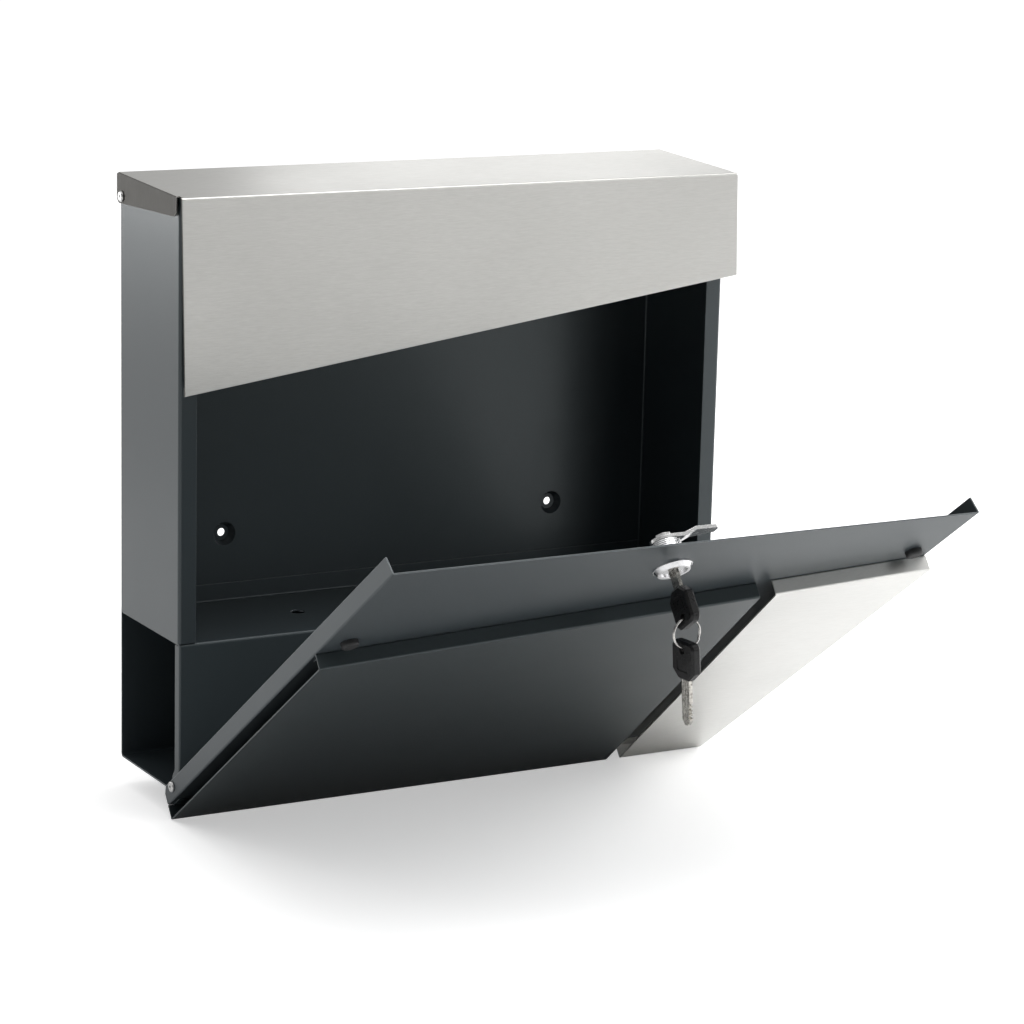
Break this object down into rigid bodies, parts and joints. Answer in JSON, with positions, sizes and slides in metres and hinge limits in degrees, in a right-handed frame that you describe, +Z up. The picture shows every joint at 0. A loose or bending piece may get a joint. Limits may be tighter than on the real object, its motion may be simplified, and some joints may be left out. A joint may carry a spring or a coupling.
{
  "type": "wall mounted mailbox",
  "caption": "Folded sheet steel wall mailbox: stainless rain flap, letter compartment, open newspaper tube below, bottom hinged door with raised panels, cam lock and keys.",
  "frame": {"origin": "on the wall plane, in the middle of the four wall screw holes", "axes": "+X to the right as seen from the front, +Y into the wall, +Z up; the front faces -Y"},
  "size_m": [0.3758, 0.3694, 0.3768],
  "materials": {
    "anthracite_paint": "satin anthracite powder coat with a fine texture",
    "brushed_stainless": "stainless sheet, brushed in one direction",
    "rivet_steel": "plain aluminium blind rivets",
    "pin_steel": "dark broken steel mandrel",
    "washer_plastic": "black nylon",
    "buffer_rubber": "soft dark rubber",
    "lock_chrome": "bright chrome plating",
    "zinc_steel": "zinc plated steel",
    "wafer_brass": "stamped brass",
    "key_nickel": "nickel plated, lightly worn",
    "key_plastic": "glossy black moulded plastic"
  },
  "bodies": {
    "case": {"case_shell": "anthracite_paint", "newspaper_bin": "anthracite_paint", "top_rail": "anthracite_paint", "flap_rivets": "rivet_steel", "flap_rivet_pins": "pin_steel", "flap_washers": "washer_plastic", "hinge_rivets": "rivet_steel", "hinge_rivet_pins": "pin_steel", "hinge_washers": "washer_plastic"},
    "flap": {"flap": "brushed_stainless"},
    "door": {"door_sheet": "anthracite_paint", "door_panel_dark": "anthracite_paint", "door_panel_steel": "brushed_stainless", "dark_panel_rivets": "rivet_steel", "steel_panel_rivets": "rivet_steel", "door_buffers": "buffer_rubber", "lock_housing": "lock_chrome", "lock_nut": "zinc_steel"},
    "lock_core": {"lock_plug": "lock_chrome", "lock_wafers": "wafer_brass", "lock_cam": "zinc_steel", "cam_washer": "zinc_steel", "cam_nut": "zinc_steel"},
    "key": {"key_blade": "key_nickel", "key_head": "key_plastic"},
    "ring": {"key_ring": "key_nickel"},
    "spare_key": {"spare_key_blade": "key_nickel", "spare_key_head": "key_plastic"}
  },
  "joints": [
    {"name": "flap_hinge", "type": "hinge", "parent": "case", "child": "flap", "pos_m": [0, -0.015, 0.1273], "axis": [-1, 0, 0], "range_deg": [0, 80]},
    {"name": "door_hinge", "type": "hinge", "parent": "case", "child": "door", "pos_m": [0, -0.0875, -0.215], "axis": [-1, 0, 0], "range_deg": [0, 54.4]},
    {"name": "lock_turn", "type": "hinge", "parent": "door", "child": "lock_core", "pos_m": [0, -0.34219, -0.04164], "axis": [0, -0.5821, -0.8131], "range_deg": [0, 90]},
    {"name": "key_draw", "type": "slide", "parent": "lock_core", "child": "key", "axis": [0, -0.5821, -0.8131], "range_m": [0, 0.075]},
    {"name": "ring_swing", "type": "hinge", "parent": "key", "child": "ring", "pos_m": [0, -0.35941, -0.06571], "axis": [1, 0, 0], "range_deg": [-35, 50]},
    {"name": "spare_swing", "type": "hinge", "parent": "ring", "child": "spare_key", "pos_m": [0, -0.35941, -0.08399], "axis": [0.9938, 0.0869, 0.0698], "range_deg": [-35, 35]}
  ],
  "couplings": [
    {"joint": "key_draw", "follows": "door_hinge", "m_per_rad": 0.0789}
  ]
}
